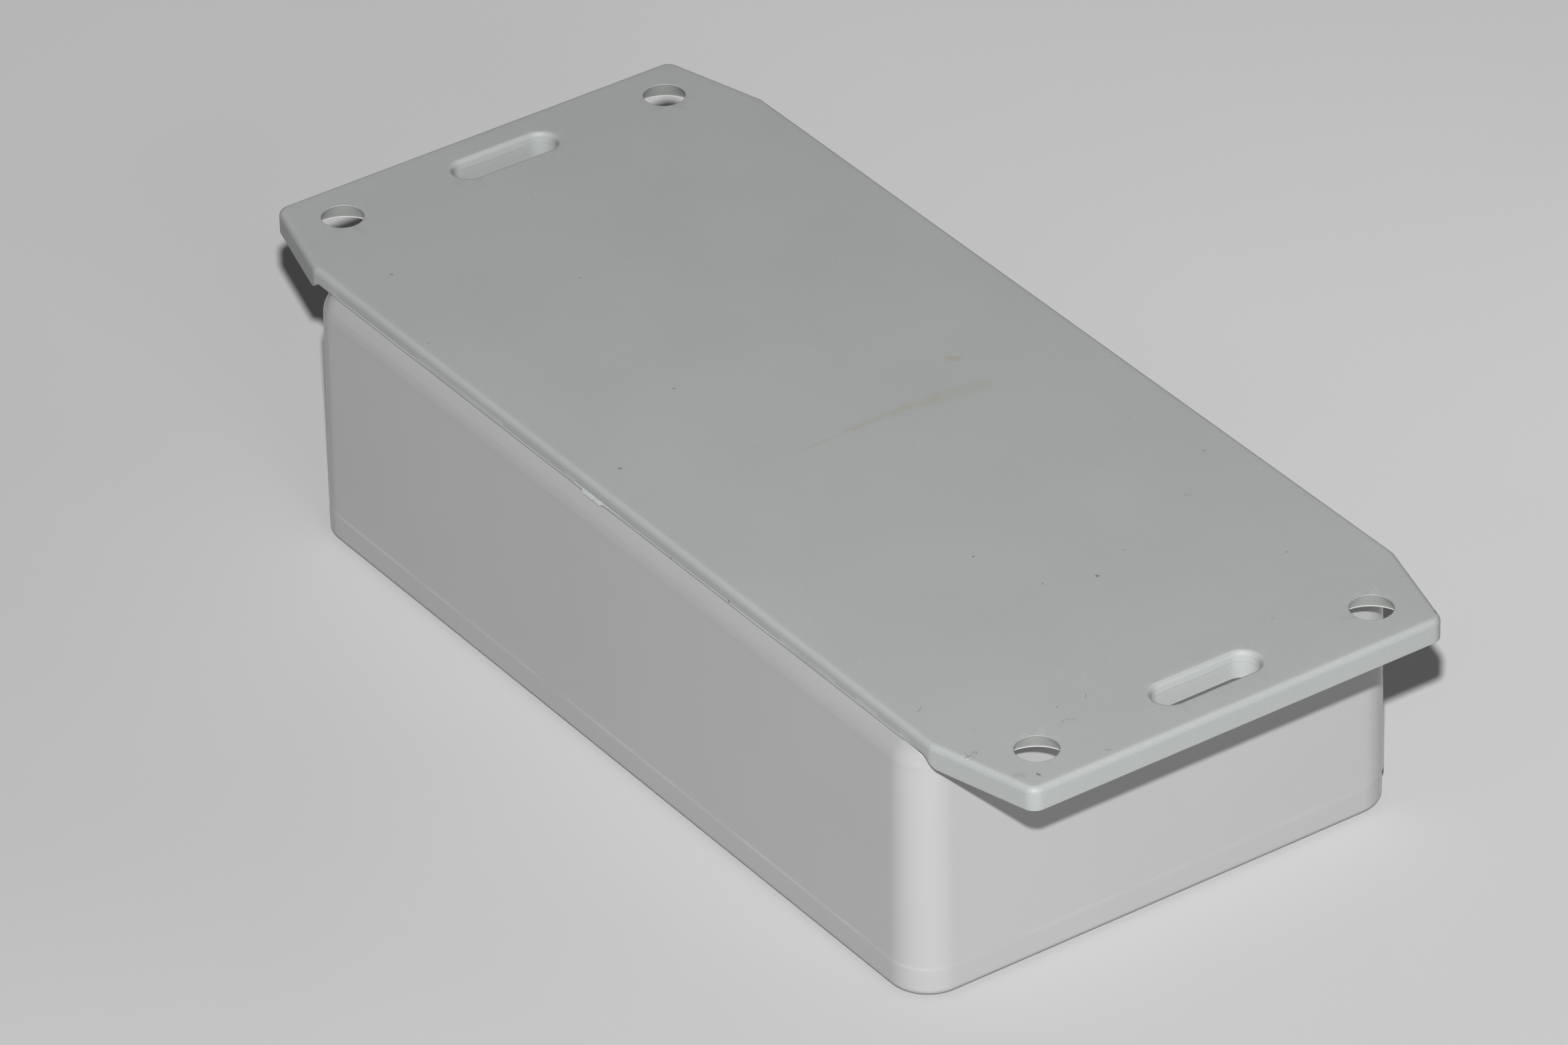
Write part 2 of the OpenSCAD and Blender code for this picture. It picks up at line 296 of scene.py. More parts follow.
lid = {
    "endX": lidHigh[0],           # half length over the flanges
    "sideY": lidHigh[1],          # half width of the straight part
    "straightX": 56.2,            # where the sides start to taper
    "taper": 3.6,                 # how much each side of a flange narrows
    "top": lidHigh[2],
    "under": lidHigh[2] - 1.22,   # underside of the plate
    "sideFoot": seamZ + 0.06,     # foot of the sides, a hair above the rim of the box
    "cornerRadius": 1.6,
    "path": (0.4, 28),            # spacing along the outline, and steps in a quarter turn
    "edgeRadius": 0.75,           # rounding round the upper face
    "faceBand": 0.45,             # strips of the face and of the underside that are made with the border
    "underBand": 0.12,
    "fillSpacing": 3.0,           # of the loose points on the flat faces
    "lowEdge": 0.08,              # rounding of the lower edges
    "bead": 0.08,                 # fine flash along the foot of the long sides
    "beadRows": (0.22, 0.15),     # heights over the foot where it starts and is full
    "beadEnds": (50.0, 54.0),     # distances from the middle between which it dies out
    "beadSway": (0.75, 0.6),      # mean share of it, and how far that sways
    "beadWave": (3, (7, 12, 19, 31)),
    "rimDepth": 2.7,
    "rimThickness": 1.4,
    "rimEnds": (55.1, 57.1),      # the rim comes down between these distances from the middle
    "holeX": 63.1,
    "holeY": 21.08,
    "holeRadius": 2.3,
    "holeMouth": 0.09,
    "holeColumns": 64,
    "sinkLand": 0.13,             # countersink under each hole
    "sinkRadius": 4.18,
    "sinkEdge": 0.15,
    "sinkChamfer": 0.03,
    "bossRing": (4.32, 4.25, 5.15),  # skin of the boss, then the ring that joins it to the rim
    "ringLift": 0.02,
    "ringPath": (48, 0.03),       # columns and first angle, off the columns of the hole
    "slotHalfWidth": 1.9,
    "slotHalfRun": 4.6,
    "slotMouth": 0.5,
    "slotPath": (0.3, 18),
    "slotSeam": 1.25,             # depth of the line where the slot's two halves meet
    "slotSway": 0.07,             # how far that line wavers, and half of its step
    "slotStepHalf": 0.06,
    "slotStep": 0.02,
    "slotWave": (2, 3, 5, 9),
    "slotSeed": 11,
    "slotFoot": (0.08, 0.12),     # chamfer at the foot, across and up
    "collar": 1.2,
    "collarEdge": 0.15,
    "collarDepth": 3.3,           # from the lid's face
    "joinIn": 0.4,                # how far rings, lip and bosses run up into the plate
    "land": 2.95,                 # land and lip, outwards from the corner centres of the box
    "landLift": 0.03,
    "lip": (0.63, 1.93),
    "lipDepth": 2.2,
    "lipChamfer": 0.3,
    "lipPath": (4.0, 8),
    "post": (49.8, 24.8),
    "bossRadius": 3.3,
    "bossFoot": lidLow[2],
    "bossColumns": 40,
    "threadBore": 1.45,
    "threadBoreTop": screwHigh[2] + 1.5,
    "threadBoreTip": 0.4,
}


def lidCentres(inset):
    # Corners of the lid's outline moved in from both of their sides by one distance
    endY = lid["sideY"] - lid["taper"]
    half = np.array([[lid["straightX"], -lid["sideY"]], [lid["endX"], -endY],
                     [lid["endX"], endY], [lid["straightX"], lid["sideY"]]])
    corners = np.concatenate([half, -half])
    run = np.roll(corners, -1, 0) - corners
    run /= np.linalg.norm(run, axis=1)[:, None]
    after = np.stack([run[:, 1], -run[:, 0]], 1)
    before = np.roll(after, 1, 0)
    return corners - inset * (before + after) / (1 + np.sum(before * after, 1))[:, None]


def lidBorder(path):
    # Section carried round the outline: rounded upper edge, side, fine bead, lower edge, foot and inner wall.
    # The foot drops from the land along the sides to the full rim by a smooth step near each end of the box.
    radius, edge, low = lid["cornerRadius"], lid["edgeRadius"], lid["lowEdge"]
    top, under = lid["top"], lid["under"]
    ones = np.ones(len(path[0]))
    fromMiddle = np.abs(loopAt(path, radius)[:, 0])
    drop = rise(fromMiddle, *lid["rimEnds"])
    foot = lid["sideFoot"] + (top - lid["rimDepth"] - lid["sideFoot"]) * drop
    along = np.arange(len(ones))
    mean, sway = lid["beadSway"]
    bead = lid["bead"] * (1 - rise(fromMiddle, *lid["beadEnds"]))
    bead = bead * (mean + sway * wave(along, len(along), *lid["beadWave"]))
    beadTop, beadFull = lid["beadRows"]
    inner = radius - lid["rimThickness"]
    quarter = np.radians(np.linspace(0, 90, 5))[:, None]
    upper = np.concatenate([[[radius - edge - lid["faceBand"], top]],
                            arc(radius - edge, top - edge, edge, 90, 0, 10)])
    reach = [upper[:, :1] * ones, [radius * ones, radius + bead], radius + bead - low + low * np.cos(quarter),
             inner + low - low * np.sin(quarter) * ones, [inner * ones, (inner - lid["underBand"]) * ones]]
    height = [upper[:, 1:] * ones, [foot + beadTop, foot + beadFull], foot + low - low * np.sin(quarter),
              foot + low - low * np.cos(quarter), [under * ones, under * ones]]
    return sweep(path, np.concatenate(reach), np.concatenate(height))


def holeWall(ring):
    # Softened mouth, a short straight land, a cone that opens downwards to the flange's foot, and its boss
    bore, mouth, sink, boss = lid["holeRadius"], lid["holeMouth"], lid["sinkRadius"], lid["bossRing"][0]
    top, under, foot, chamfer = lid["top"], lid["under"], lid["top"] - lid["rimDepth"], lid["sinkChamfer"]
    cone = np.linspace([bore, top - lid["sinkLand"]], [sink, foot + lid["sinkEdge"]], 6)
    profile = np.concatenate([arc(bore + mouth, top - mouth, mouth, 90, 180, 6), cone,
                              [[sink, foot + chamfer], [sink + chamfer, foot], [boss, foot], [boss, under]]])
    return sweep(ring, profile[:, 0], profile[:, 1])


def slotWall(ring, seed):
    # Rounded mouth, a wavering step where its halves meet, and the collar down to its foot and back up
    wide, mouth, collar = lid["slotHalfWidth"], lid["slotMouth"], lid["collar"]
    top, under, foot = lid["top"], lid["under"], lid["top"] - lid["collarDepth"]
    step, half, edge = lid["slotStep"], lid["slotStepHalf"], lid["collarEdge"]
    across, up = lid["slotFoot"]
    ones = np.ones(len(ring[0]))
    along = np.arange(len(ones))
    seam = top - lid["slotSeam"] + lid["slotSway"] * wave(along, len(along), seed, lid["slotWave"])
    mouthRows = arc(wide + mouth, top - mouth, mouth, 90, 180, 9)
    lower = np.array([[wide - step, foot + up], [wide + across, foot], [wide + collar - edge, foot],
                      [wide + collar, foot + edge], [wide + collar, under]])
    reach = [mouthRows[:, :1] * ones, [wide * ones, (wide - step) * ones], lower[:, :1] * ones]
    height = [mouthRows[:, 1:] * ones, [seam + half, seam - half], lower[:, 1:] * ones]
    return sweep(ring, np.concatenate(reach), np.concatenate(height))


def makeLid():
    path = roundPath(lidCentres(lid["cornerRadius"]), *lid["path"])
    surfaces = [lidBorder(path)]
    topHoles, lowHoles = [], []
    holes = fourCorners(lid["holeX"], lid["holeY"])
    for centre in holes:
        ring = circlePath(centre, lid["holeColumns"])
        surfaces.append(holeWall(ring))
        topHoles.append(loopAt(ring, lid["holeRadius"] + lid["holeMouth"]))
        lowHoles.append(loopAt(ring, lid["bossRing"][0]))
    for side in (-1, 1):
        run = [[side * lid["holeX"], -lid["slotHalfRun"]], [side * lid["holeX"], lid["slotHalfRun"]]]
        ring = roundPath(run, *lid["slotPath"])
        surfaces.append(slotWall(ring, lid["slotSeed"] + side))
        topHoles.append(loopAt(ring, lid["slotHalfWidth"] + lid["slotMouth"]))
        lowHoles.append(loopAt(ring, lid["slotHalfWidth"] + lid["collar"]))
    faceReach = lid["cornerRadius"] - lid["edgeRadius"] - lid["faceBand"]
    underReach = lid["cornerRadius"] - lid["rimThickness"] - lid["underBand"]
    surfaces.append(flatFill(loopAt(path, faceReach), topHoles, lid["top"], lid["fillSpacing"]))
    surfaces.append(flatFill(loopAt(path, underReach), lowHoles, lid["under"], lid["fillSpacing"]))
    piece = makePiece("lid_shell", surfaces)

    # Ring round each countersink, the land over the rim of the box with the lip inside it, the screw bosses
    joinZ, lipFoot, chamfer = lid["under"] + lid["joinIn"], boxHigh[2] - lid["lipDepth"], lid["lipChamfer"]
    ringFoot = lid["top"] - lid["rimDepth"] + lid["ringLift"]
    inside, outer = lid["bossRing"][1:]
    ring = np.array([[inside, joinZ], [outer, joinZ], [outer, ringFoot], [inside, ringFoot], [inside, joinZ]])
    rings = [sweep(circlePath(c, *lid["ringPath"]), ring[:, 0], ring[:, 1]) for c in holes]
    carve(piece, makePiece("sinkRings", rings), "UNION")
    inside, outer = lid["lip"]
    landFoot = lid["sideFoot"] + lid["landLift"]
    land = lid["land"]
    lip = np.array([[land, joinZ], [land, landFoot], [outer, landFoot], [outer, lipFoot + chamfer],
                    [outer - chamfer, lipFoot], [inside, lipFoot], [inside, joinZ], [land, joinZ]])
    carve(piece, makePiece("lip", [sweep(boxPath(*lid["lipPath"]), lip[:, 0], lip[:, 1])]), "UNION")
    posts = fourCorners(*lid["post"])
    boss = np.array([[0, joinZ], [lid["bossRadius"], joinZ], [lid["bossRadius"], lid["bossFoot"]],
                     [0, lid["bossFoot"]]])
    carve(piece, makePiece("bosses", revolved(posts, boss, lid["bossColumns"])), "UNION")
    boreTop, boreFoot = lid["threadBoreTop"], lid["bossFoot"] - cutPast
    bore = np.array([[0, boreTop], [lid["threadBore"], boreTop - lid["threadBoreTip"]],
                     [lid["threadBore"], boreFoot], [0, boreFoot]])
    carve(piece, makePiece("screwHoles", revolved(posts, bore, lid["bossColumns"])), "DIFFERENCE")
    return piece


# Box: moulded wall with foot radius, parting line, draft and shoulder, and hollow posts

box = {
    "halfX": boxHigh[0],
    "halfY": boxHigh[1],
    "height": seamZ,
    "cornerRadius": 4.7,
    "path": (0.7, 20),            # spacing along the outline, and steps in a quarter turn
    "fillSpacing": 6.0,           # of the loose points on the flat faces
    "footRadius": 0.8,
    "pad": (0.22, 0.45, 0.1),     # it stands on this: height, how far inside the foot, lean of the edge
    "padBand": 0.4,               # strips of the pad and of the floor inside that are made with the wall
    "floorBand": 0.3,
    "partingZ": 3.6,
    "partingStep": 0.05,
    "partingSwell": (0.72, 0.9, 0.12),  # mean share of the step, how far it sways, least share
    "partingWave": (5, (5, 9, 14, 23, 41)),
    "partingShares": (0.3, 0.5, 2.4),  # share on every wall, more on the long walls, more on the corners
    "partingRows": (-0.4, -0.12, -0.03, 0.03, 0.3),  # heights about the line
    "partingEdge": 0.01,
    "mismatch": 0.22,             # how far the part below that line stands back on the +Y side
    "mismatchShares": (0.8, 0.6, 0.45),  # what is left of it in the rows about the line
    "draft": 0.3,
    "shoulderRadius": 3.0,
    "shoulderIn": 1.2,
    "rimEdge": (0.05, 0.15),      # rounding of the rim, outside and inside
    "inner": 2.08,                # inner wall, outwards from the corner centres
    "floor": 2.2,
    "floorFillet": 1.0,
    "postRadius": 4.2,
    "postColumns": 48,
    "recessRadius": 3.0,
    "recessMouth": 0.3,
    "seatZ": screwLow[2],
    "headRadius": 2.7,
    "headEdge": 0.25,
    "headHeight": 1.6,
    "passRadius": 1.55,
}


def boxPath(step, fan):
    inset = box["cornerRadius"]
    return roundPath(fourCorners(box["halfX"] - inset, box["halfY"] - inset), step, fan)


def makeBox():
    radius, height, parting = box["cornerRadius"], box["height"], box["partingZ"]
    path = boxPath(*box["path"])
    outline = loopAt(path, radius)
    stride = np.linalg.norm(np.roll(outline, -1, 0) - outline, axis=1)
    along = np.concatenate([[0], np.cumsum(stride)[:-1]])
    # The step at the parting line swells and fades along the way: strong round the corners, faint on the ends
    mean, sway, least = box["partingSwell"]
    swell = mean + sway * wave(along, stride.sum(), *box["partingWave"])
    step = box["partingStep"] * np.clip(swell, least, 1)
    across, sideways = np.abs(path[1]).T
    everywhere, onSides, onCorners = box["partingShares"]
    step = step * (everywhere + onSides * sideways ** 2 + onCorners * (across * sideways) ** 2)
    low = radius - box["partingStep"]
    high = low - box["draft"]
    foot = box["footRadius"]
    shoulder, inward = box["shoulderRadius"], box["shoulderIn"]
    lean = math.degrees(math.acos(1 - inward / shoulder))
    shoulderZ = height - shoulder * math.sin(math.radians(lean))
    rim = high - inward
    padHeight, padInset, padLean = box["pad"]
    padEdge = radius - foot - padInset
    padInner = padEdge - box["padBand"]
    below, *rows = box["partingRows"]
    pad = [[padInner, 0], [padEdge, 0], [padEdge + padLean, padHeight]]
    lower = np.concatenate([pad, arc(radius - foot, foot + padHeight, foot, -90, 0, 10),
                            [[radius, parting + below]]])
    ease = np.linspace(0, 1, 7)[1:, None] * [[high - low, shoulderZ - parting - rows[-1]]]
    wall = np.array([[low, parting + rows[-1]]]) + ease
    fillet, inner = box["floorFillet"], box["inner"]
    floorReach = inner - fillet - box["floorBand"]
    rimOut, rimIn = box["rimEdge"]
    upper = np.concatenate([wall, arc(high - shoulder, shoulderZ, shoulder, 0, lean, 14)[1:], [
        [rim - rimOut, height], [inner + rimIn, height], [inner, height - rimIn]],
        arc(inner - fillet, box["floor"] + fillet, fillet, 0, -90, 8), [[floorReach, box["floor"]]]])
    ones = np.ones(len(path[0]))
    ledge = np.stack([radius * ones, radius * ones - box["partingEdge"], radius - step, low * ones])
    ledgeZ = parting + np.array(rows)[:, None] * ones
    # Above the pad the lower part stands back where the wall faces +Y, and its ledge runs out over the line
    ledgeShare = [*box["mismatchShares"], -box["partingStep"] / box["mismatch"]]
    share = np.concatenate([np.zeros(len(pad)), np.ones(len(lower) - len(pad)), ledgeShare,
                            np.zeros(len(upper))])
    back = share[:, None] * box["mismatch"] * np.clip(path[1][:, 1], 0, 1)
    reach = np.concatenate([lower[:, :1] * ones, ledge, upper[:, :1] * ones]) - back
    heights = np.concatenate([lower[:, 1:] * ones, ledgeZ, upper[:, 1:] * ones])
    surfaces = [sweep(path, reach, heights),
                flatFill(loopAt(path, padInner), [], 0.0, box["fillSpacing"]),
                flatFill(loopAt(path, floorReach), [], box["floor"], box["fillSpacing"])]
    piece = makePiece("box_shell", surfaces)

    posts = fourCorners(*lid["post"])
    post = np.array([[0, lid["bossFoot"]], [box["postRadius"], lid["bossFoot"]],
                     [box["postRadius"], box["floor"] / 2], [0, box["floor"] / 2]])
    carve(piece, makePiece("posts", revolved(posts, post, box["postColumns"])), "UNION")
    # Recess from below with a rounded mouth, the cone for the screw head and the hole above it
    recess, mouth, seat = box["recessRadius"], box["recessMouth"], box["seatZ"]
    boreTop = lid["bossFoot"] + cutPast
    bore = np.concatenate([
        [[0, -cutPast], [recess + mouth, -cutPast]], arc(recess + mouth, mouth, mouth, -90, -180, 6),
        [[recess, seat], [box["headRadius"], seat], [box["headRadius"], seat + box["headEdge"]],
         [box["passRadius"], seat + box["headHeight"]], [box["passRadius"], boreTop], [0, boreTop]]])
    carve(piece, makePiece("recesses", revolved(posts, bore, box["postColumns"])), "DIFFERENCE")
    return piece


# Torn flash: a thin flake of the lid's lower edge that lies over the shoulder of the box

flake = {
    "from": -6.6,
    "to": 4.8,
    "thickness": 0.06,
    "start": (29.42, 30.66),      # distance from the middle and height where it leaves the lid
    "slope": (0.8, -0.6),         # runs down the shoulder
    "lift": 0.05,                 # stands off the shoulder
    "patch": (-4.6, -1.3, 0.40),  # widest stretch, and how far it hangs there
    "widens": (-0.5, 0.1),        # about the start of that stretch
    "narrows": (-0.1, 0.35),      # about its end
    "tail": (0.1, 0.03),          # how far it hangs elsewhere, at most and at least
    "ragged": [(0.25, 23, (9, 17, 29, 47)), (0.12, 29, (61, 83))],  # torn edge: strength, seed and waves
    "runIn": 0.5,
    "runOut": 0.4,
    "endLoss": 0.9,
    "least": 0.02,
    "stations": 170,
    "colour": (0.31, 0.325, 0.32, 1),
    "roughness": 0.5,
    "mottle": (0.4, 0.08),        # size and strength
}


def makeFlake():
    # Flat ring section carried along the seam: its reach down the shoulder is a broad patch and a long tail,
    # times a seeded ragged edge
    first, last = flake["from"], flake["to"]
    along = np.linspace(first, last, flake["stations"])
    start, end, wide = flake["patch"]
    widens, narrows = np.add(start, flake["widens"]), np.add(end, flake["narrows"])
    patch = wide * rise(along, *widens) * (1 - rise(along, *narrows))
    most, least = flake["tail"]
    tail = most * (1 - rise(along, end, last)) + least
    ragged = 1 + sum(share * wave(along, last - first, seed, turns) for share, seed, turns in flake["ragged"])
    hang = np.maximum(patch, tail) * ragged * rise(along, first, first + flake["runIn"])
    hang = (hang + flake["least"]) * (1 - flake["endLoss"] * rise(along, last - flake["runOut"], last))
    down = np.array(flake["slope"])
    out = np.array([-down[1], down[0]])
    # Corners of the section, as shares of the hang and of the thickness
    ring = np.array([[-0.12, 0], [0.5, 0], [0.93, 0.1], [1, 0.5], [0.93, 0.9], [0.5, 1], [-0.12, 1]])
    base = np.array(flake["start"]) + flake["lift"] * out
    plan = (base + ring[None, :, :1] * hang[:, None, None] * down
            + ring[None, :, 1:] * flake["thickness"] * out)
    place = np.broadcast_to(along[:, None], plan.shape[:2])
    points = np.dstack([place, -plan[..., 0], plan[..., 1]]).reshape(-1, 3)
    count = len(ring)
    faces = gridFaces(len(along), count)
    ends = np.array([np.arange(count), len(points) - 1 - np.arange(count)])
    return makePiece("seam_flash", [(points, faces), (points, ends)])


# Screws: countersunk, cross recess, thread down to a blunt tip

screw = {
    "seat": screwLow[2],
    "length": screwHigh[2] - screwLow[2],
    "headRadius": 2.65,
    "headEdge": 0.25,
    "headRound": (0.12, 0.1),     # rounding of the head face, in and up
    "headHeight": 1.6,
    "neck": [(0.25, -0.12), (0.06, 0.05)],  # fillet under the head, from the core and the head's height
    "core": 1.05,
    "shankFrom": 0.25,            # past the head
    "thread": 0.34,               # height of the thread over the core
    "pitch": 0.95,
    "ridge": (0.27, 1.25),        # half width of the thread in pitches, and how much its crest is cut flat
    "threadFrom": 2.1,            # along the screw from its head face
    "threadEnds": (0.7, 0.55),    # over which it grows and fades
    "tip": (0.35, 0.28),          # chamfer of the tip, along and across
    "columns": 56,
    "rowsPerTurn": 16,
    "crossArm": 1.45,
    "crossTip": 0.1,              # how far an arm bulges
    "crossHalfWidth": 0.38,
    "crossDepth": 1.0,
    "crossLevels": (-0.6, 0.0, 0.55, 0.85, 1.0),  # shares of that depth, and the size of the cross there
    "crossSizes": (1.0, 1.0, 0.8, 0.55, 0.0),
}


def screwSurface(centre):
    # Profile of the screw turned about its axis, its radius raised where the place along the screw, less one
    # pitch for each turn, falls on the ridge of the thread
    length, core, pitch = screw["length"], screw["core"], screw["pitch"]
    wide, tall = screw["headRadius"], screw["headHeight"]
    roundIn, roundUp = screw["headRound"]
    tipLength, tipIn = screw["tip"]
    neck = np.add([core, tall], screw["neck"])
    head = np.concatenate([[[0, 0], [wide - roundIn, 0], [wide, roundUp], [wide, screw["headEdge"]]], neck])
    start, end = tall + screw["shankFrom"], length - tipLength
    shank = np.linspace(start, end, round((end - start) / pitch * screw["rowsPerTurn"]))
    tip = np.array([[core - tipIn, length], [0, length]])
    along = np.concatenate([head[:, 1], shank, tip[:, 1]])
    radius = np.concatenate([head[:, 0], np.full(len(shank), core), tip[:, 0]])
    angle = np.arange(screw["columns"]) * 2 * math.pi / screw["columns"]
    phase = (along[:, None] / pitch - angle[None] / (2 * math.pi)) % 1.0
    ridgeHalf, crest = screw["ridge"]
    ridge = np.clip(1 - np.abs(phase - 0.5) / ridgeHalf, 0, 1)
    ridge = np.minimum(ridge * crest, 1)
    threadFrom, (grow, fade) = screw["threadFrom"], screw["threadEnds"]
    window = rise(along, threadFrom, threadFrom + grow) * (1 - rise(along, end - fade, end))
    window[:len(head)] = 0
    window[-len(tip):] = 0
    reach = radius[:, None] + screw["thread"] * ridge * window[:, None]
    return sweep(circlePath(centre, screw["columns"]), reach, screw["seat"] + along)


def crossTool(centre):
    # Plus-shaped outline that narrows with depth: four arms, each point pulled in as the height grows
    arm, half = screw["crossArm"], screw["crossHalfWidth"]
    quarter = np.array([[arm, -half], [arm + screw["crossTip"], 0], [arm, half], [half, half]])
    angles = np.arange(4) * math.pi / 2
    turns = [np.array([[math.cos(a), math.sin(a)], [-math.sin(a), math.cos(a)]]) for a in angles]
    outline = np.concatenate([quarter @ turn for turn in turns])
    levels = np.array(screw["crossLevels"]) * screw["crossDepth"]
    rows = outline[None] * np.array(screw["crossSizes"])[:, None, None] + np.asarray(centre)
    height = np.broadcast_to((screw["seat"] + levels)[:, None, None], (len(levels), len(outline), 1))
    sides = np.concatenate([rows, height], 2).reshape(-1, 3)
    cap = np.concatenate([np.broadcast_to(np.asarray(centre), (len(outline), 2)),
                          np.full((len(outline), 1), screw["seat"] + levels[0])], 1)
    points = np.concatenate([cap, sides])
    return points, gridFaces(len(levels) + 1, len(outline))


def makeScrews():
    posts = fourCorners(*lid["post"])
    piece = makePiece("lid_screws_threaded", [screwSurface(c) for c in posts])
    carve(piece, makePiece("crosses", [crossTool(c) for c in posts]), "DIFFERENCE")
    return piece


# Finishes

lidLook = {
    "face": (0.281, 0.293, 0.289, 1),      # matt face
    "faceFrom": (0.32, 0.02),              # depths between which the edge passes into it
    "edge": (0.279, 0.293, 0.288, 1),      # smoother edges and rim
    "rounding": (0.259, 0.272, 0.267, 1),  # painted shade: upper edge darker than the rest, dulling the light on its rounding
    "roundingShadeFrom": (0.9, 0.5),
    "slots": [(0.300, 0.314, 0.308, 1), (0.335, 0.350, 0.345, 1)],  # painted light and shade: walls of the slots at -X and +X, paler than the face, the one at -X darker
    "slotStepShade": (0.01, 0.06, 0.24),        # painted shade under the step at mid depth: core, soft edge and strength
    "slotWaver": (3.0, 0.12),              # size and reach of its wavering
    "cone": (0.46, 0.475, 0.46, 1),        # painted light: countersinks much paler than the lid
    "coneLightFrom": (0.3, 0.1),
    "mouth": (0.232, 0.244, 0.239, 1),     # painted shade: darker mouth of the holes, dulling their highlight
    "softEdge": 0.1,                       # of the slots and countersinks, then of that edge
    "mouthShadeSoft": 0.04,
    "roughness": (0.52, 0.55),             # of the edges and of the face
    "gloss": 0.32,
    "grain": 0.26,                         # size of the moulded texture
    "grainDepth": 0.012,
    "cloud": 16.0,                         # size of the faint mottling
    "mottle": 0.02,                        # strength of both in the colour
    "broken": (0.7, 0.15, 0.58),           # gaps in the tan streak: size, and the noise that they lie between
    "streakRun": (1, 0.3, 1),              # draws them out along Y
    "specks": (9.0, 0.14, 0.15, 0.2),      # size of a cell, share that has one, radius and strength
    "dustSpecks": (5.0, 0.16, 0.13, 0.2),
    "tan": (0.25, 0.225, 0.14, 1),
    "dark": (0.07, 0.07, 0.07, 1),
    "dust": (0.55, 0.56, 0.55, 1),
    "brown": (0.10, 0.07, 0.035, 1),
    # handling marks on the face: start, end, core and soft width, strength, colour
    "marks": [
        ((4.5, -7.9), (4.2, -1.6), 0.02, 0.40, 0.26, "tan"),
        ((4.2, -1.6), (4.4, 5.5), 0.06, 0.75, 0.30, "tan"),
        ((4.4, 5.5), (4.7, 9.0), 0.12, 1.20, 0.23, "tan"),
        ((4.9, 9.0), (5.6, 14.2), 0.20, 1.60, 0.18, "tan"),
        ((-0.6, 14.6), (-0.3, 15.0), 0.10, 0.80, 0.55, "tan"),
        ((60.18, -27.74), (60.19, -27.03), 0.03, 0.12, 0.42, "dark"),
        ((59.78, -27.39), (60.14, -27.4), 0.02, 0.10, 0.34, "dark"),
        ((60.04, -26.76), (59.8, -26.54), 0.02, 0.10, 0.26, "dark"),
        ((59.8, -26.54), (60.0, -26.28), 0.02, 0.10, 0.30, "dark"),
        ((60.0, -26.28), (60.29, -26.41), 0.03, 0.10, 0.36, "dark"),
        ((60.58, -27.19), (60.77, -27.0), 0.02, 0.12, 0.22, "dark"),
        ((59.39, -27.23), (59.64, -27.29), 0.02, 0.14, 0.18, "dark"),
        ((60.38, -27.72), (60.43, -27.66), 0.02, 0.10, 0.45, "dust"),
        ((66.71, -23.66), (67.0, -23.63), 0.07, 0.14, 0.75, "brown"),
        ((67.05, -23.63), (67.35, -23.63), 0.05, 0.20, 0.50, "tan"),
        ((60.93, -16.49), (60.75, -16.09), 0.02, 0.08, 0.30, "dark"),
        ((60.75, -16.09), (60.77, -15.49), 0.02, 0.08, 0.32, "dark"),
        ((60.77, -15.49), (61.14, -15.07), 0.02, 0.08, 0.32, "dark"),
        ((61.14, -15.07), (61.48, -15.04), 0.02, 0.08, 0.24, "dark"),
        ((58.85, -11.9), (58.54, -11.59), 0.02, 0.09, 0.30, "dark"),
        ((58.54, -11.59), (58.23, -11.42), 0.02, 0.09, 0.25, "dark"),
        ((58.42, -15.16), (58.46, -15.12), 0.03, 0.08, 0.80, "dark"),
        ((56.7, -24.17), (56.74, -24.13), 0.02, 0.08, 0.45, "dark"),
        ((67.3, -15.8), (67.5, -15.5), 0.03, 0.10, 0.36, "dark"),
        ((67.5, -15.5), (67.8, -15.45), 0.03, 0.10, 0.30, "dark"),
        ((65.6, -25.5), (66.1, -24.9), 0.10, 0.60, 0.12, "dark"),
        ((35.0, 18.4), (35.5, 18.9), 0.02, 0.10, 0.40, "dark"),
        ((50.67, -26.89), (50.68, -26.59), 0.02, 0.09, 0.30, "dark"),
        ((50.68, -26.59), (50.21, -25.92), 0.02, 0.09, 0.34, "dark"),
        ((67.6, 25.85, 31.85), (67.35, 25.93, 31.85), 0.09, 0.10, 0.95, "dark"),
        ((11.05, -29.42, 30.42), (11.13, -29.42, 30.42), 0.06, 0.10, 0.60, "dark"),
        ((21.34, -29.4, 30.6), (21.42, -29.4, 30.62), 0.07, 0.10, 0.70, "dark"),
        ((44.95, -29.42, 30.42), (45.0, -29.42, 30.42), 0.05, 0.08, 0.40, "dark"),
        ((-50.05, -23.44), (-49.99, -23.4), 0.10, 0.15, 0.45, "dark"),
        ((-37.36, -7.68), (-37.32, -7.66), 0.08, 0.12, 0.30, "dark"),
        ((-36.22, -27.82), (-36.18, -27.82), 0.05, 0.12, 0.40, "dark"),
        ((29.58, 25.13), (29.62, 25.13), 0.07, 0.10, 0.55, "dark"),
        ((31.32, -5.77), (31.36, -5.77), 0.07, 0.10, 0.75, "dark"),
        ((39.53, 7.25), (39.57, 7.25), 0.05, 0.10, 0.40, "dark"),
        ((39.63, -3.08), (39.67, -3.08), 0.05, 0.10, 0.60, "dark"),
        ((41.78, 2.23), (41.84, 2.27), 0.12, 0.12, 0.75, "dark"),
        ((49.84, 20.39), (49.88, 20.39), 0.06, 0.10, 0.50, "dark"),
        ((58.61, 11.87), (58.65, 11.87), 0.05, 0.10, 0.40, "dark"),
        ((60.5, 26.98), (60.54, 26.98), 0.05, 0.10, 0.40, "dark"),
        ((-4.1, -25.4), (-3.9, -25.3), 0.06, 0.13, 0.70, "dark"),
        ((-13.4, -12.2), (-13.2, -12.1), 0.05, 0.12, 0.55, "dark"),
    ],
}


